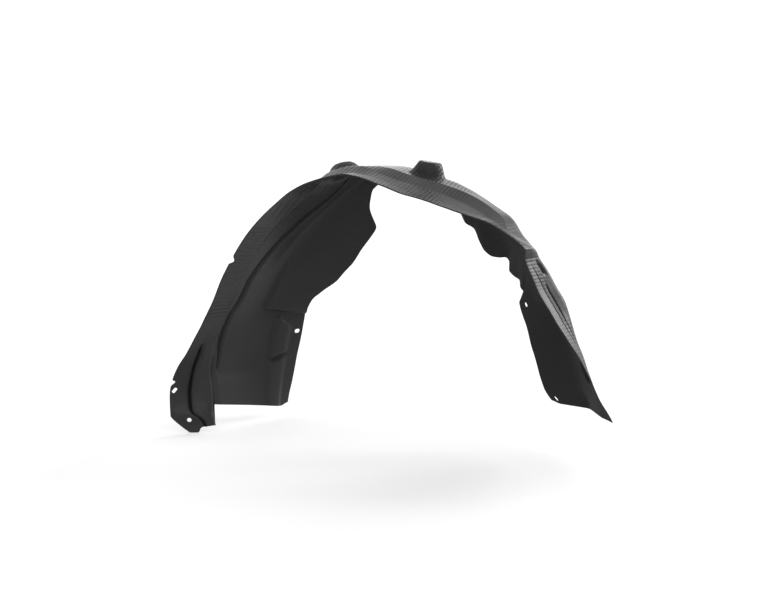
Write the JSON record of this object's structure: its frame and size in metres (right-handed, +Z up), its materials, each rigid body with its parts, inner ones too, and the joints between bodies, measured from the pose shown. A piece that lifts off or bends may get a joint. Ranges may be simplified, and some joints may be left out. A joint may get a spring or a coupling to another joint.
{
  "type": "wheel arch liner",
  "caption": "Moulded plastic front wheel arch liner for a passenger car: an arched shell that covers the wheel well above and behind the wheel, with clip holes in its edges.",
  "frame": {"origin": "on the wheel axis, in the plane of the liner's outboard edge", "axes": "+X to the front of the car, +Y inboard along the wheel axis, +Z up"},
  "size_m": [0.8252, 0.2417, 0.4782],
  "materials": {
    "moulding": "fine moulded grain, low sheen"
  },
  "bodies": {
    "root": {"liner": "moulding"}
  },
  "joints": []
}
